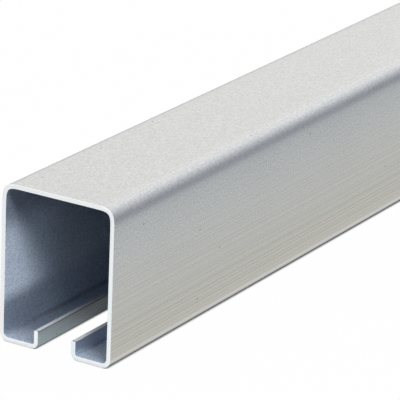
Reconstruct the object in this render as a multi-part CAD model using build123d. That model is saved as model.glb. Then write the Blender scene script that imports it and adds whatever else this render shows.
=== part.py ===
from build123d import *
import os

# A straight length of stainless steel track rail. One strip of sheet is roll-formed into a box
# that is open along the middle of its underside. The strip's two edges turn up inside the box as
# lips, so a trolley's wheels run in the groove between each wall and its lip, and the trolley's
# hanger passes down through the slot between the lips.
#
# Millimetres. X runs along the rail, Y across it and Z up. The origin is on the surface that the
# rail lies on, under the middle of its length and width.

# Stock length and sheet
LENGTH = 1000.0
SHEET = 1.5

# Section, measured over the outside
WIDTH = 40.0
HEIGHT = 51.0
SLOT_WIDTH = 12.0
LIP_HEIGHT = 6.0

# Inside radius of each fold, roundest at the closed top and tightest where the lips turn up
TOP_BEND_RADIUS = 2.5
FLANGE_BEND_RADIUS = 1.5
LIP_BEND_RADIUS = 0.75


def fold_points():
    """Corners of the strip's outer skin, as (Y, Z), from one lip's tip round the box to the other's."""
    wall = WIDTH / 2
    slot_side = SLOT_WIDTH / 2
    right_half = [
        (slot_side, LIP_HEIGHT),
        (slot_side, 0),
        (wall, 0),
        (wall, HEIGHT),
    ]
    left_half = [(-y, z) for y, z in reversed(right_half)]
    return right_half + left_half


def fold_radii():
    """Radius of the outer skin at each fold, in the order of the corners between the lips' tips."""
    right_half = [
        LIP_BEND_RADIUS + SHEET,
        FLANGE_BEND_RADIUS + SHEET,
        TOP_BEND_RADIUS + SHEET,
    ]
    return right_half + right_half[::-1]


def formed_section():
    """The folded strip seen along the rail: the outer skin, and the inner skin one sheet inside it."""
    with BuildSketch(Plane.YZ) as section:
        with BuildLine():
            FilletPolyline(*fold_points(), radius=fold_radii())
            offset(amount=SHEET, side=Side.LEFT)
        make_face()
    return section.sketch


def track_rail():
    """The section along the whole stock length, sawn square at both ends."""
    return extrude(formed_section(), amount=LENGTH / 2, dir=(1, 0, 0), both=True)


os.makedirs("parts", exist_ok=True)
export_step(track_rail(), "parts/track_rail.step")
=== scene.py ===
import math

import bpy
from bpy.props import FloatProperty, FloatVectorProperty, IntProperty, PointerProperty
from mathutils import Matrix, Vector


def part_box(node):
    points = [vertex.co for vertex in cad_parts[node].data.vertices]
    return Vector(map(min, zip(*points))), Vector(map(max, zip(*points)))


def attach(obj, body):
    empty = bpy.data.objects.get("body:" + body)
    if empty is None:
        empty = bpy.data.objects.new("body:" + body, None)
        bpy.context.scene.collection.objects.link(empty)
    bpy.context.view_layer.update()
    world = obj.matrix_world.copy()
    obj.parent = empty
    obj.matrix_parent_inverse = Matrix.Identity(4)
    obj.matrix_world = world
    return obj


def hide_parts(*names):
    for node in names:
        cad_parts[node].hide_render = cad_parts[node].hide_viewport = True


bl_info = {
    "name": "Stainless Track Rail",
    "version": (1, 0, 0),
    "blender": (4, 5, 0),
    "location": "View3D > Sidebar > Track Rail",
    "description": "Forms a stainless steel track rail from a folded strip and sets it on a studio floor",
    "category": "Object",
}

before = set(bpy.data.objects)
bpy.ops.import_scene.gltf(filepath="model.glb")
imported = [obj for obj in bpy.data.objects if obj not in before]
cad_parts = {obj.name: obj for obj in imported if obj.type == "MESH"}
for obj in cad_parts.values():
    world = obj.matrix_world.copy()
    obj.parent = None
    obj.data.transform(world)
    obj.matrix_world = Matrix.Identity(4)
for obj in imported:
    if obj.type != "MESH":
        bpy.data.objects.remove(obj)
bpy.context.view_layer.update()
RAIL_LOW, RAIL_HIGH = (Vector(corner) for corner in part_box("track_rail"))
SAWN_END = RAIL_HIGH.x
RAIL_TOP = RAIL_HIGH.z

# Spacing of the columns and rows in the node editor
COLUMN, ROW = 220, 190

# Where the finishes, and the painted light and shade on the inner skin, change, as heights over the floor
# in metres
LINES_CLEAREST, LINES_FAINTEST = 0.009, 0.039
FLANGE_FACE, FLANGE_CLEAR = 0.0020, 0.0032
DEEP_LOW, DEEP_HIGH = 0.008, 0.034

# Where the finishes, and the painted light and shade inside the rail, change, as distances in from a sawn
# end in metres
MOUTH, DEEP_INSIDE = 0.012, 0.038
SAWN_FACE, SAWN_CLEAR = 0.0004, 0.0010
UNSHADED_NEAR_END, FULL_SHADE_INSIDE = 0.0005, 0.030

# Share of bare metal on the inner skin near a sawn end, by height, set to paint light and shade: painted
# light in a more matt band up the wall, painted shade in more mirror-like metal low down and at the top
PAINTED_LIGHT_METAL_SHARE = (
    (0.0, 0.885),
    (0.0050, 0.885),
    (0.0105, 0.83),
    (0.0165, 0.42),
    (0.030, 0.42),
    (0.043, 0.815),
)

# The pits' pattern on the left half is the right half's, moved along the rail by this much
LEFT_SHIFT = 0.37

# White floor as the metal mirrors it, graded and tinted to paint the reflections in the rail's walls and
# lips, out to the span on both sides of the rail's middle line: share of the span, then tint and share of
# white
FLOOR_SPAN = 0.10
FLOOR_WHITE = (
    (0.0, (0.72, 0.92, 1.0, 0.42)),
    (0.062, (0.72, 0.92, 1.0, 0.42)),
    (0.075, (1.0, 1.0, 1.0, 0.10)),
    (0.195, (1.0, 1.0, 1.0, 0.10)),
    (0.205, (1.0, 1.0, 1.0, 0.95)),
    (0.27, (1.0, 0.98, 0.85, 0.53)),
    (0.60, (0.97, 0.985, 0.94, 0.45)),
    (0.78, (0.86, 0.93, 1.0, 0.52)),
    (1.0, (0.84, 0.92, 1.0, 0.12)),
)

# Floor under the rail as the metal mirrors it, painted lit near its open ends and painted dim inside: half
# its width, how far in from a sawn end it is lit and where it is dim, and how soon it turns white out from
# that end
COVERED = 0.0195
LIT_END, DIM_INSIDE = 0.007, 0.035
END_SOFTNESS = 0.002

# The room's light by degrees round the rail: 0 is level on its left, 90 overhead, 180 level on its right
ROOM_LIGHT = (
    (180, (0.410, 0.436, 0.480, 1)),
    (149, (0.622, 0.650, 0.700, 1)),
    (111, (0.845, 0.873, 0.915, 1)),
    (88, (0.930, 0.955, 0.985, 1)),
    (72, (0.960, 0.985, 1.000, 1)),
    (43, (0.960, 0.985, 1.000, 1)),
    (37, (0.865, 0.862, 0.853, 1)),
    (12, (0.875, 0.875, 0.870, 1)),
    (0, (0.220, 0.225, 0.235, 1)),
    (-90, (0.250, 0.265, 0.300, 1)),
    (-160, (0.335, 0.352, 0.392, 1)),
    (-180, (0.410, 0.436, 0.480, 1)),
)

# Soft lamps at the rail's near end: name, place and power in watts
FILLS = (
    ("right_fill", (-1.04, -0.875, 1.105), 29.0),
    ("front_fill", (-1.36, 0.20, 1.25), 21.0),
)
FILL_AIM = (RAIL_LOW.x, 0.0, 0.025)
FILL_SIZE = 0.5
FILL_COLOUR = (0.94, 0.97, 1.0)

# Camera: its place, and the directions to the right and up in its picture
CAMERA_PLACE = (-1.24369, -0.48969, 0.36983)
CAMERA_RIGHT = (0.52156593, -0.85233251, 0.03870756)
CAMERA_UP = (0.26880606, 0.20720793, 0.94064243)


# Sizes and colours

class TRACKRAIL_PG_sizes(bpy.types.PropertyGroup):
    """Sizes of the rail's section and of its stock length"""

    length: FloatProperty(
        name="Length", description="Stock length between the sawn ends",
        default=RAIL_HIGH.x - RAIL_LOW.x, min=0.05, unit="LENGTH")
    width: FloatProperty(
        name="Width", description="Width over the outside of the walls",
        default=RAIL_HIGH.y - RAIL_LOW.y, min=0.01, unit="LENGTH")
    height: FloatProperty(
        name="Height", description="Height from the flanges' underside to the top face",
        default=RAIL_HIGH.z - RAIL_LOW.z, min=0.01, unit="LENGTH")
    sheet: FloatProperty(
        name="Sheet", description="Thickness of the sheet", default=0.0015, min=0.0003, unit="LENGTH")
    slot_width: FloatProperty(
        name="Slot Width", description="Gap between the two lips", default=0.012, min=0.001, unit="LENGTH")
    lip_height: FloatProperty(
        name="Lip Height", description="Height of the lips' tips over the flanges' underside",
        default=0.006, min=0.001, unit="LENGTH")
    top_bend_radius: FloatProperty(
        name="Top Bend Radius",
        description="Inside radius of the two folds along the closed top, before easing",
        default=0.0010, min=0.0, unit="LENGTH")
    top_ease: IntProperty(
        name="Top Ease", description="Rounds of smoothing that ease the top folds into the flat sheet",
        default=37, min=0)
    flange_bend_radius: FloatProperty(
        name="Flange Bend Radius", description="Inside radius of the folds between walls and flanges",
        default=0.0015, min=0.0, unit="LENGTH")
    lip_bend_radius: FloatProperty(
        name="Lip Bend Radius", description="Inside radius of the folds where the lips turn up",
        default=0.00075, min=0.0, unit="LENGTH")
    edge_break: FloatProperty(
        name="Edge Break", description="Width of the rounding along every cut edge",
        default=0.00016, min=0.0, unit="LENGTH")
    bend_steps: IntProperty(
        name="Bend Steps", description="Points along the round of each fold", default=14, min=2)
    point_spacing: FloatProperty(
        name="Point Spacing", description="Spacing of the points along the folded strip",
        default=0.0004, min=0.00005, unit="LENGTH")


class TRACKRAIL_PG_finish(bpy.types.PropertyGroup):
    """Colours and texture of the sheet and of its cut edges"""

    outer_colour: FloatVectorProperty(
        name="Outer Skin", description="Colour of the brushed outer skin", subtype="COLOR",
        min=0.0, max=1.0, default=(0.658, 0.654, 0.646))
    line_colour: FloatVectorProperty(
        name="Lines", description="Colour in the depth of the brushed lines", subtype="COLOR", min=0.0,
        max=1.0, default=(0.492, 0.487, 0.478))
    inner_colour: FloatVectorProperty(
        name="Inner Skin", description="Colour of the dull inner skin", subtype="COLOR", min=0.0, max=1.0,
        default=(0.555, 0.625, 0.735))
    pit_colour: FloatVectorProperty(
        name="Pits", description="Colour of the small pits in the sheet", subtype="COLOR", min=0.0, max=1.0,
        default=(0.250, 0.245, 0.235))
    cut_colour: FloatVectorProperty(
        name="Cut Metal", description="Colour of the sawn ends and of the slit edges", subtype="COLOR",
        min=0.0, max=1.0, default=(0.915, 0.920, 0.925))
    line_width: FloatProperty(
        name="Line Width", description="Spacing of the drawn lines", default=0.00050, min=0.00001,
        unit="LENGTH")
    line_length: FloatProperty(
        name="Line Length", description="Length of the hairlines among the drawn lines", default=1.2,
        min=0.0001, unit="LENGTH")


class TRACKRAIL_PG_stage(bpy.types.PropertyGroup):
    """Floor, light and camera"""

    floor_colour: FloatVectorProperty(
        name="Floor", description="Colour of the floor", subtype="COLOR", min=0.0, max=1.0,
        default=(0.70, 0.695, 0.675))
    floor_reach: FloatProperty(
        name="Floor Reach", description="How far the floor runs from the rail's middle", default=30.0,
        min=1.0, unit="LENGTH")
    floor_edge: FloatProperty(
        name="Floor Edge", description="How far the floor runs on the rail's right-hand side",
        default=0.098, min=0.05, unit="LENGTH")
    lens: FloatProperty(
        name="Lens", description="Focal length of the camera", default=288.43, min=1.0, unit="CAMERA")


# Node helpers

def new_node(tree, kind, label, place, inputs=None, **settings):
    """A labelled node at a column and row of the editor, with its settings and its unlinked inputs."""
    node = tree.nodes.new(kind)
    node.label = label
    node.location = (place[0] * COLUMN, -place[1] * ROW)
    for name, value in settings.items():
        setattr(node, name, value)
    for name, value in (inputs or {}).items():
        node.inputs[name].default_value = value
    return node


def add_sockets(tree, in_out, sockets):
    """Named sockets on a node group, each as its type and its name."""
    for kind, name in sockets:
        tree.interface.new_socket(name=name, in_out=in_out, socket_type=f"NodeSocket{kind}")


def set_ramp(node, stops):
    """Colours along a colour ramp, each with its place, instead of the two that it starts with."""
    elements = node.color_ramp.elements
    elements[0].position, elements[0].color = stops[0]
    elements[1].position, elements[1].color = stops[-1]
    for place, colour in stops[1:-1]:
        elements.new(place).color = colour


def empty_tree(owner):
    """Node tree of a new material or world, cleared of what it starts with."""
    owner.use_nodes = True
    owner.node_tree.nodes.clear()
    return owner.node_tree


def opaque(colour, share=1.0):
    """A colour, or a darker share of it, with full alpha."""
    return (*[share * value for value in colour], 1.0)


def round_the_section(group, vector, place):
    """Nodes for the axes of a point on the sheet, and for how far round the section it lies."""
    column, row = place
    axes = new_node(group, "ShaderNodeSeparateXYZ", "Axes", place)
    aside = new_node(group, "ShaderNodeMath", "Out from the middle", (column, row + 1),
                     operation="ABSOLUTE")
    girth = new_node(group, "ShaderNodeMath", "Round the section", (column, row + 2),
                     operation="SUBTRACT")
    group.links.new(vector, axes.inputs["Vector"])
    group.links.new(axes.outputs["Y"], aside.inputs[0])
    group.links.new(axes.outputs["Z"], girth.inputs[0])
    group.links.new(aside.outputs["Value"], girth.inputs[1])
    return axes, girth


# Geometry of the rail

def roll_forming_tree():
    """Node tree that folds a line into rounded bends, gives it the sheet's thickness and runs it out."""
    tree = bpy.data.node_groups.new("Roll Forming", "GeometryNodeTree")
    tree.is_modifier = True
    add_sockets(tree, "INPUT", [
        ("Geometry", "Fold Line"),
        ("Float", "Length"),
        ("Float", "Sheet"),
        ("Int", "Bend Steps"),
        ("Float", "Point Spacing"),
        ("Int", "Top Ease"),
        ("Float", "Eased Above"),
        ("Material", "Outer Skin"),
        ("Material", "Inner Skin"),
        ("Material", "Cut Metal"),
    ])
    add_sockets(tree, "OUTPUT", [("Geometry", "Rail")])
    given = new_node(tree, "NodeGroupInput", "Sizes", (0, 0))
    link = tree.links.new

    to_curve = new_node(tree, "GeometryNodeMeshToCurve", "Fold line", (1, 0))
    radius = new_node(tree, "GeometryNodeInputNamedAttribute", "Radius at each fold", (1, 1),
                      {"Name": "fold_radius"}, data_type="FLOAT")
    folds = new_node(tree, "GeometryNodeFilletCurve", "Round folds", (2, 0), mode="POLY")
    strip = new_node(tree, "GeometryNodeResampleCurve", "Points along the strip", (2, -1), mode="LENGTH")
    place = new_node(tree, "GeometryNodeInputPosition", "Place", (1, -2))
    axes = new_node(tree, "ShaderNodeSeparateXYZ", "Axes", (2, -3))
    high = new_node(tree, "FunctionNodeCompare", "Top folds only", (3, -3), data_type="FLOAT",
                    operation="GREATER_THAN")
    ease = new_node(tree, "GeometryNodeBlurAttribute", "Ease the top folds", (3, -2),
                    data_type="FLOAT_VECTOR")
    eased = new_node(tree, "GeometryNodeSetPosition", "Eased strip", (3, -1))
    upright = new_node(tree, "GeometryNodeSetCurveNormal", "Face along the rail", (3, 0),
                       {"Normal": (1, 0, 0)}, mode="FREE")
    half = new_node(tree, "ShaderNodeMath", "Half the sheet", (1, 3), {1: 0.5}, operation="MULTIPLY")
    minus_half = new_node(tree, "ShaderNodeMath", "Other side", (2, 3), {1: -1.0}, operation="MULTIPLY")
    outer = new_node(tree, "ShaderNodeCombineXYZ", "Outer skin", (3, 2))
    inner = new_node(tree, "ShaderNodeCombineXYZ", "Inner skin", (3, 3))
    thickness = new_node(tree, "GeometryNodeCurvePrimitiveLine", "Sheet thickness", (4, 2))
    depth = new_node(tree, "GeometryNodeSplineParameter", "Depth in the sheet", (4, 4))
    skins = new_node(tree, "GeometryNodeStoreNamedAttribute", "Tell the skins apart", (5, 2),
                     {"Name": "skin"}, data_type="FLOAT", domain="POINT")
    section = new_node(tree, "GeometryNodeCurveToMesh", "Section", (6, 0))
    run = new_node(tree, "ShaderNodeCombineXYZ", "Run", (6, 2))
    body = new_node(tree, "GeometryNodeExtrudeMesh", "Run out the length", (7, 0),
                    {"Offset Scale": 1.0, "Individual": False}, mode="FACES")
    near_end = new_node(tree, "GeometryNodeFlipFaces", "Near end", (7, 2))
    join = new_node(tree, "GeometryNodeJoinGeometry", "Body and near end", (8, 0))
    weld = new_node(tree, "GeometryNodeMergeByDistance", "Weld", (9, 0), {"Distance": 0.000001})
    smooth = new_node(tree, "GeometryNodeSetShadeSmooth", "Smooth", (10, 0))
    real = new_node(tree, "GeometryNodeRealizeInstances", "Real mesh", (11, 0))
    skin = new_node(tree, "GeometryNodeInputNamedAttribute", "Skin", (11, 2), {"Name": "skin"},
                    data_type="FLOAT")
    inside = new_node(tree, "FunctionNodeCompare", "Inner skin", (12, 2), {"B": 0.25},
                      data_type="FLOAT", operation="LESS_THAN")
    between = new_node(tree, "FunctionNodeCompare", "Through the sheet", (12, 3),
                       {"B": 0.5, "Epsilon": 0.25}, data_type="FLOAT", operation="EQUAL")
    outer_skin = new_node(tree, "GeometryNodeSetMaterial", "Outer skin", (12, 0))
    inner_skin = new_node(tree, "GeometryNodeSetMaterial", "Inner skin", (13, 0))
    cut_metal = new_node(tree, "GeometryNodeSetMaterial", "Sawn ends and slit edges", (14, 0))
    made = new_node(tree, "NodeGroupOutput", "Rail", (15, 0))

    link(given.outputs["Fold Line"], to_curve.inputs["Mesh"])
    link(to_curve.outputs["Curve"], folds.inputs["Curve"])
    link(given.outputs["Bend Steps"], folds.inputs["Count"])
    link(radius.outputs["Attribute"], folds.inputs["Radius"])
    link(folds.outputs["Curve"], strip.inputs["Curve"])
    link(given.outputs["Point Spacing"], strip.inputs["Length"])
    link(place.outputs["Position"], axes.inputs["Vector"])
    link(axes.outputs["Z"], high.inputs["A"])
    link(given.outputs["Eased Above"], high.inputs["B"])
    link(place.outputs["Position"], ease.inputs["Value"])
    link(given.outputs["Top Ease"], ease.inputs["Iterations"])
    link(high.outputs["Result"], ease.inputs["Weight"])
    link(strip.outputs["Curve"], eased.inputs["Geometry"])
    link(ease.outputs["Value"], eased.inputs["Position"])
    link(eased.outputs["Geometry"], upright.inputs["Curve"])
    link(given.outputs["Sheet"], half.inputs[0])
    link(half.outputs["Value"], minus_half.inputs[0])
    link(half.outputs["Value"], outer.inputs["Y"])
    link(minus_half.outputs["Value"], inner.inputs["Y"])
    link(inner.outputs["Vector"], thickness.inputs["Start"])
    link(outer.outputs["Vector"], thickness.inputs["End"])
    link(thickness.outputs["Curve"], skins.inputs["Geometry"])
    link(depth.outputs["Factor"], skins.inputs["Value"])
    link(upright.outputs["Curve"], section.inputs["Curve"])
    link(skins.outputs["Geometry"], section.inputs["Profile Curve"])
    link(given.outputs["Length"], run.inputs["X"])
    link(section.outputs["Mesh"], body.inputs["Mesh"])
    link(run.outputs["Vector"], body.inputs["Offset"])
    link(section.outputs["Mesh"], near_end.inputs["Mesh"])
    link(near_end.outputs["Mesh"], join.inputs["Geometry"])
    link(body.outputs["Mesh"], join.inputs["Geometry"])
    link(join.outputs["Geometry"], weld.inputs["Geometry"])
    link(weld.outputs["Geometry"], smooth.inputs["Geometry"])
    link(smooth.outputs["Geometry"], real.inputs["Geometry"])
    link(skin.outputs["Attribute"], inside.inputs["A"])
    link(skin.outputs["Attribute"], between.inputs["A"])
    link(real.outputs["Geometry"], outer_skin.inputs["Geometry"])
    link(given.outputs["Outer Skin"], outer_skin.inputs["Material"])
    link(outer_skin.outputs["Geometry"], inner_skin.inputs["Geometry"])
    link(inside.outputs["Result"], inner_skin.inputs["Selection"])
    link(given.outputs["Inner Skin"], inner_skin.inputs["Material"])
    link(inner_skin.outputs["Geometry"], cut_metal.inputs["Geometry"])
    link(between.outputs["Result"], cut_metal.inputs["Selection"])
    link(given.outputs["Cut Metal"], cut_metal.inputs["Material"])
    link(cut_metal.outputs["Geometry"], made.inputs["Rail"])
    return tree


def fold_line(sizes):
    """Mesh of the strip's middle line at the rail's near end, with the middle radius at each fold."""
    half_sheet = sizes.sheet / 2
    wall = sizes.width / 2 - half_sheet
    lip = sizes.slot_width / 2 + half_sheet
    right_half = [
        (lip, sizes.lip_height, 0.0),
        (lip, half_sheet, sizes.lip_bend_radius + half_sheet),
        (wall, half_sheet, sizes.flange_bend_radius + half_sheet),
        (wall, sizes.height - half_sheet, sizes.top_bend_radius + half_sheet),
    ]
    corners = right_half + [(-y, z, radius) for y, z, radius in reversed(right_half)]
    near_end = -sizes.length / 2
    mesh = bpy.data.meshes.new("fold_line")
    mesh.from_pydata(
        [(near_end, y, z) for y, z, _ in corners],
        [(index, index + 1) for index in range(len(corners) - 1)],
        [])
    radii = mesh.attributes.new("fold_radius", "FLOAT", "POINT")
    radii.data.foreach_set("value", [radius for _, _, radius in corners])
    return mesh


def set_tree_inputs(modifier, values):
    """Values of a node tree's named inputs on its modifier."""
    for item in modifier.node_group.interface.items_tree:
        if item.item_type == "SOCKET" and item.name in values:
            modifier[item.identifier] = values[item.name]


def formed_mesh(sizes, outer_skin, inner_skin, cut_metal):
    """Plain mesh of the finished rail: the roll-formed strip with its cut edges broken."""
    maker = bpy.data.objects.new("rail_maker", fold_line(sizes))
    bpy.context.scene.collection.objects.link(maker)
    forming = maker.modifiers.new("Roll Forming", "NODES")
    forming.node_group = roll_forming_tree()
    set_tree_inputs(forming, {
        "Length": sizes.length,
        "Sheet": sizes.sheet,
        "Bend Steps": sizes.bend_steps,
        "Point Spacing": sizes.point_spacing,
        "Top Ease": sizes.top_ease,
        "Eased Above": sizes.height / 2,
        "Outer Skin": outer_skin,
        "Inner Skin": inner_skin,
        "Cut Metal": cut_metal,
    })
    broken = maker.modifiers.new("Edge Break", "BEVEL")
    broken.width = sizes.edge_break
    broken.segments = 2
    broken.limit_method = "ANGLE"
    broken.angle_limit = math.radians(50)
    flats = maker.modifiers.new("Flat Faces", "WEIGHTED_NORMAL")
    flats.weight = 100
    evaluated = maker.evaluated_get(bpy.context.evaluated_depsgraph_get())
    mesh = bpy.data.meshes.new_from_object(evaluated)
    bpy.data.objects.remove(maker)
    if len(mesh.polygons) == 0:
        raise RuntimeError("the rail's node tree made no faces")
    return mesh


# Finishes

def drawn_lines_group():
    """Shader group of lines that run the whole way along the first axis, and of hairlines between them."""
    group = bpy.data.node_groups.new("Drawn Lines", "ShaderNodeTree")
    add_sockets(group, "INPUT", [
        ("Vector", "Coordinates"), ("Float", "Line Length"), ("Float", "Line Width")])
    add_sockets(group, "OUTPUT", [("Float", "Lines"), ("Float", "Hairlines")])
    given = new_node(group, "NodeGroupInput", "Coordinates and sizes", (0, 0))
    made = new_node(group, "NodeGroupOutput", "Lines", (6, 0))
    link = group.links.new
    stretch = new_node(group, "ShaderNodeCombineXYZ", "Line size", (1, 1))
    scaled = new_node(group, "ShaderNodeVectorMath", "Stretch", (2, 0), operation="DIVIDE")
    _, girth = round_the_section(group, scaled.outputs["Vector"], (2, 3))
    lines = new_node(group, "ShaderNodeTexNoise", "Lines", (3, 0),
                     {"Scale": 1.0, "Detail": 1.0, "Roughness": 0.5, "Distortion": 0.0},
                     noise_dimensions="1D")
    hairlines = new_node(group, "ShaderNodeTexNoise", "Hairlines", (3, 2),
                         {"Scale": 5.0, "Detail": 2.0, "Roughness": 0.5, "Distortion": 0.0})
    wide = new_node(group, "ShaderNodeMapRange", "Spread", (4, 0), {"From Min": 0.3, "From Max": 0.7})
    fine = new_node(group, "ShaderNodeMapRange", "Spread", (4, 2), {"From Min": 0.3, "From Max": 0.7})
    link(given.outputs["Line Length"], stretch.inputs["X"])
    link(given.outputs["Line Width"], stretch.inputs["Y"])
    link(given.outputs["Line Width"], stretch.inputs["Z"])
    link(given.outputs["Coordinates"], scaled.inputs[0])
    link(stretch.outputs["Vector"], scaled.inputs[1])
    link(girth.outputs["Value"], lines.inputs["W"])
    link(scaled.outputs["Vector"], hairlines.inputs["Vector"])
    link(lines.outputs["Fac"], wide.inputs["Value"])
    link(hairlines.outputs["Fac"], fine.inputs["Value"])
    link(wide.outputs["Result"], made.inputs["Lines"])
    link(fine.outputs["Result"], made.inputs["Hairlines"])
    return group


def pits_group():
    """Shader group of small round pits, scattered along the first axis and round the section."""
    group = bpy.data.node_groups.new("Small Pits", "ShaderNodeTree")
    add_sockets(group, "INPUT", [
        ("Vector", "Coordinates"), ("Float", "Spacing"), ("Float", "Radius"), ("Float", "Share")])
    add_sockets(group, "OUTPUT", [("Float", "Pits")])
    given = new_node(group, "NodeGroupInput", "Coordinates and sizes", (0, 0))
    made = new_node(group, "NodeGroupOutput", "Pits", (7, 0))
    link = group.links.new
    axes, girth = round_the_section(group, given.outputs["Coordinates"], (0, 2))
    left = new_node(group, "ShaderNodeMath", "Left half", (1, 4), {1: 0.0}, operation="GREATER_THAN")
    shifted = new_node(group, "ShaderNodeMath", "Left half unlike the right", (1, 5), {1: LEFT_SHIFT},
                       operation="MULTIPLY_ADD")
    sheet = new_node(group, "ShaderNodeCombineXYZ", "Flat sheet", (2, 4))
    density = new_node(group, "ShaderNodeMath", "Cells", (1, 1), {0: 1.0}, operation="DIVIDE")
    cells = new_node(group, "ShaderNodeTexVoronoi", "Cells", (2, 0), {"Randomness": 1.0},
                     voronoi_dimensions="2D")
    reach = new_node(group, "ShaderNodeMath", "Pit in cell", (2, 2), operation="DIVIDE")
    away = new_node(group, "ShaderNodeMath", "How far out", (3, 0), operation="DIVIDE")
    dot = new_node(group, "ShaderNodeMapRange", "Soft dot", (4, 0),
                   {"From Min": 0.6, "From Max": 1.0, "To Min": 1.0, "To Max": 0.0})
    chance = new_node(group, "ShaderNodeSeparateColor", "Chance", (3, 2))
    chosen = new_node(group, "ShaderNodeMath", "Chosen cells", (4, 2), operation="LESS_THAN")
    pits = new_node(group, "ShaderNodeMath", "Pits", (5, 0), operation="MULTIPLY")
    link(axes.outputs["Y"], left.inputs[0])
    link(left.outputs["Value"], shifted.inputs[0])
    link(axes.outputs["X"], shifted.inputs[2])
    link(shifted.outputs["Value"], sheet.inputs["X"])
    link(girth.outputs["Value"], sheet.inputs["Y"])
    link(sheet.outputs["Vector"], cells.inputs["Vector"])
    link(given.outputs["Spacing"], density.inputs[1])
    link(density.outputs["Value"], cells.inputs["Scale"])
    link(given.outputs["Radius"], reach.inputs[0])
    link(given.outputs["Spacing"], reach.inputs[1])
    link(cells.outputs["Distance"], away.inputs[0])
    link(reach.outputs["Value"], away.inputs[1])
    link(away.outputs["Value"], dot.inputs["Value"])
    link(cells.outputs["Color"], chance.inputs["Color"])
    link(chance.outputs["Red"], chosen.inputs[0])
    link(given.outputs["Share"], chosen.inputs[1])
    link(dot.outputs["Result"], pits.inputs[0])
    link(chosen.outputs["Value"], pits.inputs[1])
    link(pits.outputs["Value"], made.inputs["Pits"])
    return group


def blank_material(name):
    """A material with nothing but its Principled shader and output, and that shader."""
    material = bpy.data.materials.new(name)
    tree = empty_tree(material)
    shader = new_node(tree, "ShaderNodeBsdfPrincipled", name, (8, 0), {"Metallic": 1.0})
    output = new_node(tree, "ShaderNodeOutputMaterial", "Surface", (10, 0))
    tree.links.new(shader.outputs["BSDF"], output.inputs["Surface"])
    return material, tree, shader


def place_group(tree, group, label, place, **inputs):
    """A shader group placed in a material with that material's own values."""
    node = new_node(tree, "ShaderNodeGroup", label, place)
    node.node_tree = group
    for name, value in inputs.items():
        node.inputs[name.replace("_", " ")].default_value = value
    return node


def outer_skin_material(finish, lines_group, pits):
    """Brushed stainless sheet: fine lines along the rail, cloudy gloss and a few small pits."""
    material, tree, shader = blank_material("Brushed Outer Skin")
    link = tree.links.new
    coords = new_node(tree, "ShaderNodeTexCoord", "Rail coordinates", (0, 1))
    lines = place_group(tree, lines_group, "Drawn lines", (1, 0),
                        Line_Length=finish.line_length, Line_Width=finish.line_width)
    pit = place_group(tree, pits, "Pits", (1, 1), Spacing=0.011, Radius=0.00036, Share=0.17)
    cloud = new_node(tree, "ShaderNodeTexNoise", "Cloudy gloss", (1, 3),
                     {"Scale": 28.0, "Detail": 3.0, "Roughness": 0.55})
    parts = new_node(tree, "ShaderNodeSeparateXYZ", "Height", (1, 4))
    rubbed = new_node(tree, "ShaderNodeMapRange", "Clearest low on the walls", (2, 4),
                      {"From Min": LINES_CLEAREST, "From Max": LINES_FAINTEST,
                       "To Min": 0.06, "To Max": 0.84})
    grain = new_node(tree, "ShaderNodeTexNoise", "Satin grain", (1, 5),
                     {"Scale": 1500.0, "Detail": 2.0, "Roughness": 0.6})
    satin = new_node(tree, "ShaderNodeMapRange", "Spread", (2, 5),
                     {"From Min": 0.34, "From Max": 0.66, "To Min": 0.05, "To Max": 1.0})
    drawn = new_node(tree, "ShaderNodeMix", "Lines low down, grain high up", (2, 0), data_type="FLOAT")
    tone = new_node(tree, "ShaderNodeMix", "Lines in the colour", (3, 0), data_type="RGBA")
    tone.inputs["A"].default_value = opaque(finish.line_colour)
    tone.inputs["B"].default_value = opaque(finish.outer_colour)
    pitted = new_node(tree, "ShaderNodeMix", "Pits in the colour", (5, 0), data_type="RGBA")
    pitted.inputs["B"].default_value = opaque(finish.pit_colour)
    gloss = new_node(tree, "ShaderNodeMapRange", "Gloss along the lines", (3, 2),
                     {"To Min": 0.28, "To Max": 0.20})
    haze = new_node(tree, "ShaderNodeMapRange", "Haze", (3, 3),
                    {"From Min": 0.3, "From Max": 0.7, "To Min": -0.02, "To Max": 0.03})
    rough = new_node(tree, "ShaderNodeMath", "Roughness", (5, 2), operation="ADD")
    height = new_node(tree, "ShaderNodeMath", "Lines and hairlines", (3, 5), {1: 0.3},
                      operation="MULTIPLY_ADD")
    sunk = new_node(tree, "ShaderNodeMath", "Pits sunk in", (5, 5), {1: -3.0}, operation="MULTIPLY_ADD")
    bump = new_node(tree, "ShaderNodeBump", "Relief", (6, 4), {"Strength": 0.35, "Distance": 0.00002})
    link(coords.outputs["Object"], lines.inputs["Coordinates"])
    link(coords.outputs["Object"], pit.inputs["Coordinates"])
    link(coords.outputs["Object"], cloud.inputs["Vector"])
    link(coords.outputs["Object"], parts.inputs["Vector"])
    link(parts.outputs["Z"], rubbed.inputs["Value"])
    link(rubbed.outputs["Result"], drawn.inputs["Factor"])
    link(lines.outputs["Lines"], drawn.inputs["A"])
    link(coords.outputs["Object"], grain.inputs["Vector"])
    link(grain.outputs["Fac"], satin.inputs["Value"])
    link(satin.outputs["Result"], drawn.inputs["B"])
    link(drawn.outputs["Result"], tone.inputs["Factor"])
    link(tone.outputs["Result"], pitted.inputs["A"])
    link(pit.outputs["Pits"], pitted.inputs["Factor"])
    link(pitted.outputs["Result"], shader.inputs["Base Color"])
    link(drawn.outputs["Result"], gloss.inputs["Value"])
    link(cloud.outputs["Fac"], haze.inputs["Value"])
    link(gloss.outputs["Result"], rough.inputs[0])
    link(haze.outputs["Result"], rough.inputs[1])
    link(rough.outputs["Value"], shader.inputs["Roughness"])
    link(lines.outputs["Hairlines"], height.inputs[0])
    link(drawn.outputs["Result"], height.inputs[2])
    link(pit.outputs["Pits"], sunk.inputs[0])
    link(height.outputs["Value"], sunk.inputs[2])
    link(sunk.outputs["Value"], bump.inputs["Height"])
    link(bump.outputs["Normal"], shader.inputs["Normal"])
    return material


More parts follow.
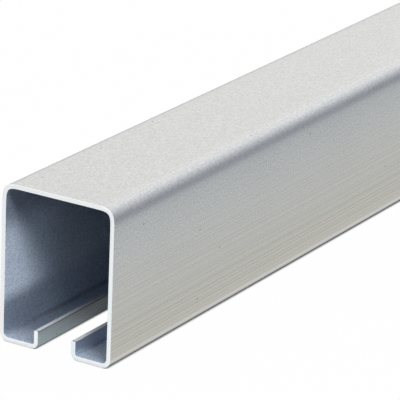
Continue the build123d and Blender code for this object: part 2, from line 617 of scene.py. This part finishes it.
def inner_skin_material(finish, lines_group):
    """Dull mill finish on the strip's other side, with its share of bare metal set by height and by
    distance from each sawn end to paint light and shade: a lighter, more matt band near the ends and darker
    metal low down and deep inside.
    """
    material, tree, shader = blank_material("Dull Inner Skin")
    link = tree.links.new
    coords = new_node(tree, "ShaderNodeTexCoord", "Rail coordinates", (0, 1))
    lines = place_group(tree, lines_group, "Roll lines", (1, 0), Line_Length=0.20, Line_Width=0.0010)
    cloud = new_node(tree, "ShaderNodeTexNoise", "Clouds of haze", (1, 2),
                     {"Scale": 60.0, "Detail": 3.0, "Roughness": 0.55})
    tone = new_node(tree, "ShaderNodeMix", "Clouds in the colour", (3, 0), data_type="RGBA")
    tone.inputs["A"].default_value = opaque(finish.inner_colour, 0.90)
    tone.inputs["B"].default_value = opaque(finish.inner_colour)
    grain = new_node(tree, "ShaderNodeTexNoise", "Mill grain", (1, 3),
                     {"Scale": 2400.0, "Detail": 1.0, "Roughness": 0.6})
    speck = new_node(tree, "ShaderNodeMapRange", "Spread", (2, 3),
                     {"From Min": 0.25, "From Max": 0.75, "To Min": 0.68, "To Max": 1.32})
    mottled = new_node(tree, "ShaderNodeMix", "Grain in the colour", (4, 0), {"Factor": 1.0},
                       data_type="RGBA", blend_type="MULTIPLY")
    parts = new_node(tree, "ShaderNodeSeparateXYZ", "Length and height", (1, 5))
    height = new_node(tree, "ShaderNodeMapRange", "Height up the wall", (2, 4), {"From Max": RAIL_TOP})
    # Painted light and shade: near each sawn end, the share of bare metal by height paints a lighter band
    # up the wall and darker metal low down and at the top
    painted_metal_by_height = new_node(tree, "ShaderNodeValToRGB", "Metal share painted for light and shade by height", (3, 4))
    painted_metal_by_height.color_ramp.interpolation = "EASE"
    set_ramp(painted_metal_by_height, [(height_up / RAIL_TOP, opaque([share] * 3)) for height_up, share in PAINTED_LIGHT_METAL_SHARE])
    flange = new_node(tree, "ShaderNodeMapRange", "On the flange", (2, 5),
                      {"From Min": FLANGE_FACE, "From Max": FLANGE_CLEAR, "To Min": 1.0, "To Max": 0.0},
                      interpolation_type="SMOOTHSTEP")
    # Painted shade deep inside: more bare metal on the walls and flanges there
    deep_wall = new_node(tree, "ShaderNodeMapRange", "Metal share painted for shade deep up the wall", (2, 8),
                         {"From Min": DEEP_LOW, "From Max": DEEP_HIGH, "To Min": 0.57, "To Max": 0.68})
    deep = new_node(tree, "ShaderNodeMix", "Metal share painted for shade deep inside", (3, 5), {"B": 0.83}, data_type="FLOAT")
    from_middle = new_node(tree, "ShaderNodeMath", "Distance from the middle", (2, 6), operation="ABSOLUTE")
    depth = new_node(tree, "ShaderNodeMapRange", "In from the sawn end", (3, 6),
                     {"From Min": SAWN_END - MOUTH, "From Max": SAWN_END - DEEP_INSIDE},
                     interpolation_type="SMOOTHSTEP")
    inside = new_node(tree, "ShaderNodeMix", "Painted light near the ends, painted shade deep inside", (4, 4), data_type="FLOAT")
    # Painted light: the flanges turn more matt, and so lighter, towards each sawn end
    mouth = new_node(tree, "ShaderNodeMapRange", "At the sawn end", (3, 7),
                     {"From Min": SAWN_END - MOUTH, "From Max": SAWN_END, "To Max": 0.20})
    dulled = new_node(tree, "ShaderNodeMath", "Flange painted lighter at its end", (4, 6), operation="MULTIPLY")
    metal = new_node(tree, "ShaderNodeMath", "Bare metal", (5, 4), operation="SUBTRACT")
    rough = new_node(tree, "ShaderNodeMapRange", "Roughness", (3, 2), {"To Min": 0.36, "To Max": 0.28})
    bump = new_node(tree, "ShaderNodeBump", "Relief", (5, 3), {"Strength": 0.3, "Distance": 0.00002})
    link(coords.outputs["Object"], lines.inputs["Coordinates"])
    link(coords.outputs["Object"], cloud.inputs["Vector"])
    link(coords.outputs["Object"], grain.inputs["Vector"])
    link(coords.outputs["Object"], parts.inputs["Vector"])
    link(cloud.outputs["Fac"], tone.inputs["Factor"])
    link(grain.outputs["Fac"], speck.inputs["Value"])
    link(tone.outputs["Result"], mottled.inputs["A"])
    link(speck.outputs["Result"], mottled.inputs["B"])
    link(mottled.outputs["Result"], shader.inputs["Base Color"])
    link(parts.outputs["Z"], height.inputs["Value"])
    link(height.outputs["Result"], painted_metal_by_height.inputs["Fac"])
    link(parts.outputs["Z"], flange.inputs["Value"])
    link(parts.outputs["Z"], deep_wall.inputs["Value"])
    link(flange.outputs["Result"], deep.inputs["Factor"])
    link(deep_wall.outputs["Result"], deep.inputs["A"])
    link(parts.outputs["X"], from_middle.inputs[0])
    link(from_middle.outputs["Value"], depth.inputs["Value"])
    link(from_middle.outputs["Value"], mouth.inputs["Value"])
    link(depth.outputs["Result"], inside.inputs["Factor"])
    link(painted_metal_by_height.outputs["Color"], inside.inputs["A"])
    link(deep.outputs["Result"], inside.inputs["B"])
    link(flange.outputs["Result"], dulled.inputs[0])
    link(mouth.outputs["Result"], dulled.inputs[1])
    link(inside.outputs["Result"], metal.inputs[0])
    link(dulled.outputs["Value"], metal.inputs[1])
    link(metal.outputs["Value"], shader.inputs["Metallic"])
    link(lines.outputs["Lines"], rough.inputs["Value"])
    link(rough.outputs["Result"], shader.inputs["Roughness"])
    link(lines.outputs["Hairlines"], bump.inputs["Height"])
    link(bump.outputs["Normal"], shader.inputs["Normal"])
    return material


def cut_metal_material(finish, lines_group, pits):
    """Bright bare metal where the stock was sawn and the strip was slit, with fine tool marks and painted
    shade that darkens the slit edges deeper in from each sawn end.
    """
    material, tree, shader = blank_material("Cut Stainless Edge")
    link = tree.links.new
    coords = new_node(tree, "ShaderNodeTexCoord", "Rail coordinates", (0, 1))
    parts = new_node(tree, "ShaderNodeSeparateXYZ", "Axes", (1, 1))
    turned = new_node(tree, "ShaderNodeCombineXYZ", "Saw travels across", (2, 1))
    marks = place_group(tree, lines_group, "Saw marks", (3, 0), Line_Length=0.012, Line_Width=0.0003)
    pit = place_group(tree, pits, "Nicks", (3, 1), Spacing=0.004, Radius=0.00012, Share=0.2)
    tone = new_node(tree, "ShaderNodeMix", "Marks in the colour", (5, 0), data_type="RGBA")
    tone.inputs["A"].default_value = opaque(finish.cut_colour, 0.93)
    tone.inputs["B"].default_value = opaque(finish.cut_colour)
    nicked = new_node(tree, "ShaderNodeMix", "Nicks in the colour", (6, 0), data_type="RGBA")
    nicked.inputs["B"].default_value = opaque(finish.line_colour)
    from_middle = new_node(tree, "ShaderNodeMath", "Distance from the middle", (2, 3), operation="ABSOLUTE")
    # Painted shade: the slit edges darken from full colour at each sawn end to 0.38 of it deeper inside
    slit_light_by_depth = new_node(tree, "ShaderNodeMapRange", "Painted light near the sawn ends", (3, 3),
                     {"From Min": SAWN_END - FULL_SHADE_INSIDE, "From Max": SAWN_END - UNSHADED_NEAR_END},
                     interpolation_type="SMOOTHSTEP")
    slit_painted_shade = new_node(tree, "ShaderNodeMix", "Slit edges painted darker deep inside", (7, 0), data_type="RGBA")
    slit_painted_shade.inputs["A"].default_value = opaque(finish.cut_colour, 0.38)
    metal = new_node(tree, "ShaderNodeMapRange", "Barest where it was sawn", (3, 4),
                     {"From Min": SAWN_END - SAWN_CLEAR, "From Max": SAWN_END - SAWN_FACE,
                      "To Min": 0.76, "To Max": 0.90})
    gloss = new_node(tree, "ShaderNodeMapRange", "Gloss along the marks", (5, 2),
                     {"To Min": 0.55, "To Max": 0.42})
    bump = new_node(tree, "ShaderNodeBump", "Relief", (6, 4), {"Strength": 0.4, "Distance": 0.00002})
    link(coords.outputs["Object"], parts.inputs["Vector"])
    link(parts.outputs["Y"], turned.inputs["X"])
    link(parts.outputs["Z"], turned.inputs["Y"])
    link(parts.outputs["X"], turned.inputs["Z"])
    link(turned.outputs["Vector"], marks.inputs["Coordinates"])
    link(turned.outputs["Vector"], pit.inputs["Coordinates"])
    link(marks.outputs["Lines"], tone.inputs["Factor"])
    link(tone.outputs["Result"], nicked.inputs["A"])
    link(pit.outputs["Pits"], nicked.inputs["Factor"])
    link(parts.outputs["X"], from_middle.inputs[0])
    link(from_middle.outputs["Value"], slit_light_by_depth.inputs["Value"])
    link(from_middle.outputs["Value"], metal.inputs["Value"])
    link(metal.outputs["Result"], shader.inputs["Metallic"])
    link(slit_light_by_depth.outputs["Result"], slit_painted_shade.inputs["Factor"])
    link(nicked.outputs["Result"], slit_painted_shade.inputs["B"])
    link(slit_painted_shade.outputs["Result"], shader.inputs["Base Color"])
    link(marks.outputs["Lines"], gloss.inputs["Value"])
    link(gloss.outputs["Result"], shader.inputs["Roughness"])
    link(marks.outputs["Hairlines"], bump.inputs["Height"])
    link(bump.outputs["Normal"], shader.inputs["Normal"])
    return material


class TRACKRAIL_OT_form_rail(bpy.types.Operator):
    """Fold the strip into the rail's section, run it out to the stock length and finish its surface"""

    bl_idname = "track_rail.form_rail"
    bl_label = "Form Rail"

    def execute(self, context):
        sizes = context.scene.track_rail_sizes
        finish = context.scene.track_rail_finish
        lines_group = drawn_lines_group()
        pits = pits_group()
        mesh = formed_mesh(
            sizes,
            outer_skin_material(finish, lines_group, pits),
            inner_skin_material(finish, lines_group),
            cut_metal_material(finish, lines_group, pits))
        mesh.name = "formed_rail"
        rail = bpy.data.objects.new("formed_rail", mesh)
        context.scene.collection.objects.link(rail)
        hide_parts("track_rail")
        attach(rail, "root")
        return {"FINISHED"}


# Stage

def floor_material(colour):
    """Pale matt floor, white to the camera, with a painted contact shadow under the rail's edge; the white
    that metal mirrors is graded and tinted by place to paint the rail's reflections.
    """
    material = bpy.data.materials.new("Pale Floor")
    tree = empty_tree(material)
    link = tree.links.new
    path = new_node(tree, "ShaderNodeLightPath", "Ray", (0, 0))
    point = new_node(tree, "ShaderNodeTexCoord", "Floor coordinates", (0, 3))
    axes = new_node(tree, "ShaderNodeSeparateXYZ", "Axes", (1, 3))
    aside = new_node(tree, "ShaderNodeMath", "Out from the middle line", (2, 3), operation="ABSOLUTE")
    # Painted reflections: the white that metal mirrors is graded and tinted by distance from the rail's
    # middle line, painted dim under the rail away from its open ends and bright in line before them
    span = new_node(tree, "ShaderNodeMapRange", "Away from the rail", (3, 3), {"From Max": FLOOR_SPAN})
    tint = new_node(tree, "ShaderNodeValToRGB", "Tint and share of the white in the metal", (4, 3))
    set_ramp(tint, FLOOR_WHITE)
    beside = new_node(tree, "ShaderNodeMath", "Beside the rail", (3, 4), {1: COVERED},
                      operation="GREATER_THAN")
    along = new_node(tree, "ShaderNodeMath", "Distance from the middle", (2, 5), operation="ABSOLUTE")
    ends = new_node(tree, "ShaderNodeMapRange", "Under the rail, light only at its open ends", (3, 5),
                    {"From Min": SAWN_END - DIM_INSIDE, "From Max": SAWN_END - LIT_END, "To Min": 0.08})
    lit = new_node(tree, "ShaderNodeMath", "Lit floor", (4, 5), operation="MAXIMUM")
    bright = new_node(tree, "ShaderNodeMath", "Bright floor", (5, 5), operation="MULTIPLY")
    before = new_node(tree, "ShaderNodeMapRange", "Before the sawn ends", (3, 6),
                      {"From Min": SAWN_END, "From Max": SAWN_END + END_SOFTNESS, "To Max": 0.90})
    in_line = new_node(tree, "ShaderNodeMath", "In line with the rail", (4, 6), operation="SUBTRACT",
                       use_clamp=True)
    white_floor = new_node(tree, "ShaderNodeMath", "White floor", (5, 6), operation="MAXIMUM")
    mirrored = new_node(tree, "ShaderNodeMath", "Mirrored or seen through", (1, 1), operation="ADD")
    in_metal = new_node(tree, "ShaderNodeMath", "White in the metal", (5, 1), operation="MULTIPLY")
    # Painted contact shadow: the floor's colour goes dark where the rail stands close over it, and the
    # camera sees that dark floor there instead of white
    open_floor = new_node(tree, "ShaderNodeAmbientOcclusion", "Open floor", (2, 2), {"Distance": 0.0015},
                          samples=16)
    clear = new_node(tree, "ShaderNodeMapRange", "Clear of the contact", (3, 1),
                     {"From Min": 0.10, "From Max": 0.45})
    seen = new_node(tree, "ShaderNodeMath", "Seen on open floor", (4, 1), operation="MULTIPLY")
    share = new_node(tree, "ShaderNodeMath", "Share of white", (6, 0), {1: 0.985}, operation="MULTIPLY_ADD",
                     use_clamp=True)
    ground = new_node(tree, "ShaderNodeMix", "Painted contact shadow", (5, 2), data_type="RGBA")
    ground.inputs["A"].default_value = (0.03, 0.031, 0.034, 1.0)
    ground.inputs["B"].default_value = opaque(colour)
    matt = new_node(tree, "ShaderNodeBsdfDiffuse", "Matt floor", (6, 2))
    white = new_node(tree, "ShaderNodeEmission", "White", (6, 3), {"Strength": 1.0})
    camera_tint = new_node(tree, "ShaderNodeMix", "Plain white to the camera", (5, 4), data_type="RGBA")
    camera_tint.inputs["B"].default_value = (1.0, 1.0, 1.0, 1.0)
    both = new_node(tree, "ShaderNodeMixShader", "Floor", (7, 0))
    output = new_node(tree, "ShaderNodeOutputMaterial", "Surface", (8, 0))
    link(point.outputs["Object"], axes.inputs["Vector"])
    link(axes.outputs["Y"], aside.inputs[0])
    link(aside.outputs["Value"], span.inputs["Value"])
    link(span.outputs["Result"], tint.inputs["Fac"])
    link(path.outputs["Is Glossy Ray"], mirrored.inputs[0])
    link(path.outputs["Is Transmission Ray"], mirrored.inputs[1])
    link(mirrored.outputs["Value"], in_metal.inputs[0])
    link(aside.outputs["Value"], beside.inputs[0])
    link(axes.outputs["X"], along.inputs[0])
    link(along.outputs["Value"], ends.inputs["Value"])
    link(beside.outputs["Value"], lit.inputs[0])
    link(ends.outputs["Result"], lit.inputs[1])
    link(tint.outputs["Alpha"], bright.inputs[0])
    link(lit.outputs["Value"], bright.inputs[1])
    link(along.outputs["Value"], before.inputs["Value"])
    link(before.outputs["Result"], in_line.inputs[0])
    link(beside.outputs["Value"], in_line.inputs[1])
    link(bright.outputs["Value"], white_floor.inputs[0])
    link(in_line.outputs["Value"], white_floor.inputs[1])
    link(white_floor.outputs["Value"], in_metal.inputs[1])
    link(open_floor.outputs["AO"], clear.inputs["Value"])
    link(path.outputs["Is Camera Ray"], seen.inputs[0])
    link(clear.outputs["Result"], seen.inputs[1])
    link(seen.outputs["Value"], share.inputs[0])
    link(in_metal.outputs["Value"], share.inputs[2])
    link(share.outputs["Value"], both.inputs["Fac"])
    link(clear.outputs["Result"], ground.inputs["Factor"])
    link(ground.outputs["Result"], matt.inputs["Color"])
    link(tint.outputs["Color"], camera_tint.inputs["A"])
    link(path.outputs["Is Camera Ray"], camera_tint.inputs["Factor"])
    link(camera_tint.outputs["Result"], white.inputs["Color"])
    link(matt.outputs["BSDF"], both.inputs[1])
    link(white.outputs["Emission"], both.inputs[2])
    link(both.outputs["Shader"], output.inputs["Surface"])
    return material


def studio_world():
    """Plain room, white to the camera, whose light fades round the rail from overhead to its right."""
    world = bpy.data.worlds.new("Studio Room")
    tree = empty_tree(world)
    link = tree.links.new
    coords = new_node(tree, "ShaderNodeTexCoord", "Direction", (0, 0))
    axes = new_node(tree, "ShaderNodeSeparateXYZ", "Axes", (1, 0))
    turn = new_node(tree, "ShaderNodeMath", "Turn round the rail", (2, 0), operation="ARCTAN2")
    place = new_node(tree, "ShaderNodeMapRange", "From right, over the top, to right", (3, 0),
                     {"From Min": math.pi, "From Max": -math.pi})
    tones = new_node(tree, "ShaderNodeValToRGB", "Dim to bright", (4, 0))
    set_ramp(tones, [((180 - turned) / 360, colour) for turned, colour in ROOM_LIGHT])
    room = new_node(tree, "ShaderNodeBackground", "Room", (5, 0), {"Strength": 1.24})
    white = new_node(tree, "ShaderNodeBackground", "White", (5, 1),
                     {"Color": (1, 1, 1, 1), "Strength": 1.0})
    path = new_node(tree, "ShaderNodeLightPath", "Ray", (5, 2))
    both = new_node(tree, "ShaderNodeMixShader", "White to the camera", (6, 0))
    output = new_node(tree, "ShaderNodeOutputWorld", "World", (7, 0))
    link(coords.outputs["Generated"], axes.inputs["Vector"])
    link(axes.outputs["Z"], turn.inputs[0])
    link(axes.outputs["Y"], turn.inputs[1])
    link(turn.outputs["Value"], place.inputs["Value"])
    link(place.outputs["Result"], tones.inputs["Fac"])
    link(tones.outputs["Color"], room.inputs["Color"])
    link(path.outputs["Is Camera Ray"], both.inputs["Fac"])
    link(room.outputs["Background"], both.inputs[1])
    link(white.outputs["Background"], both.inputs[2])
    link(both.outputs["Shader"], output.inputs["Surface"])
    return world


def add_fill(scene, name, place, power, lit):
    """A square soft lamp turned to the near end, unseen in mirrors, for the objects of one collection."""
    lamp = bpy.data.lights.new(name, "AREA")
    lamp.size = FILL_SIZE
    lamp.energy = power
    lamp.color = FILL_COLOUR
    holder = bpy.data.objects.new(name, lamp)
    holder.location = place
    holder.rotation_euler = (Vector(FILL_AIM) - Vector(place)).to_track_quat("-Z", "Y").to_euler()
    holder.visible_glossy = False
    holder.light_linking.receiver_collection = lit
    scene.collection.objects.link(holder)


def add_camera(scene, lens):
    """Camera at the photograph's angle, with the small roll it was held at."""
    camera = bpy.data.cameras.new("Camera")
    camera.sensor_width = 36.0
    camera.lens = lens
    camera.clip_end = 200.0
    right, up = Vector(CAMERA_RIGHT), Vector(CAMERA_UP)
    turned = Matrix((right, up, right.cross(up))).transposed().to_4x4()
    holder = bpy.data.objects.new("Camera", camera)
    holder.matrix_world = Matrix.Translation(CAMERA_PLACE) @ turned
    scene.collection.objects.link(holder)
    scene.camera = holder


class TRACKRAIL_OT_set_stage(bpy.types.Operator):
    """Lay the floor, light the room and place the camera"""

    bl_idname = "track_rail.set_stage"
    bl_label = "Set Stage"

    def execute(self, context):
        scene = context.scene
        stage = scene.track_rail_stage
        reach, edge = stage.floor_reach, stage.floor_edge
        mesh = bpy.data.meshes.new("floor")
        mesh.from_pydata(
            [(-reach, -edge, 0), (reach, -edge, 0), (reach, reach, 0), (-reach, reach, 0)],
            [], [(0, 1, 2, 3)])
        mesh.materials.append(floor_material(stage.floor_colour))
        floor = bpy.data.objects.new("floor", mesh)
        scene.collection.objects.link(floor)
        lit = bpy.data.collections.new("lit_by_fills")
        lit.objects.link(bpy.data.objects["formed_rail"])
        for name, place, power in FILLS:
            add_fill(scene, name, place, power, lit)
        scene.world = studio_world()
        add_camera(scene, stage.lens)
        scene.view_settings.view_transform = "Standard"
        return {"FINISHED"}


class VIEW3D_PT_track_rail(bpy.types.Panel):
    """Sizes, colours and steps of the track rail"""

    bl_label = "Track Rail"
    bl_space_type = "VIEW_3D"
    bl_region_type = "UI"
    bl_category = "Track Rail"

    def draw(self, context):
        scene = context.scene
        for settings in (scene.track_rail_sizes, scene.track_rail_finish, scene.track_rail_stage):
            box = self.layout.box()
            for name in settings.bl_rna.properties.keys():
                if name not in {"rna_type", "name"}:
                    box.prop(settings, name)
        self.layout.operator(TRACKRAIL_OT_form_rail.bl_idname)
        self.layout.operator(TRACKRAIL_OT_set_stage.bl_idname)


CLASSES = (
    TRACKRAIL_PG_sizes,
    TRACKRAIL_PG_finish,
    TRACKRAIL_PG_stage,
    TRACKRAIL_OT_form_rail,
    TRACKRAIL_OT_set_stage,
    VIEW3D_PT_track_rail,
)


def register():
    for cls in CLASSES:
        bpy.utils.register_class(cls)
    bpy.types.Scene.track_rail_sizes = PointerProperty(type=TRACKRAIL_PG_sizes)
    bpy.types.Scene.track_rail_finish = PointerProperty(type=TRACKRAIL_PG_finish)
    bpy.types.Scene.track_rail_stage = PointerProperty(type=TRACKRAIL_PG_stage)


def unregister():
    del bpy.types.Scene.track_rail_stage
    del bpy.types.Scene.track_rail_finish
    del bpy.types.Scene.track_rail_sizes
    for cls in reversed(CLASSES):
        bpy.utils.unregister_class(cls)


def main():
    register()
    bpy.ops.track_rail.form_rail()
    bpy.ops.track_rail.set_stage()


if __name__ == "__main__":
    main()
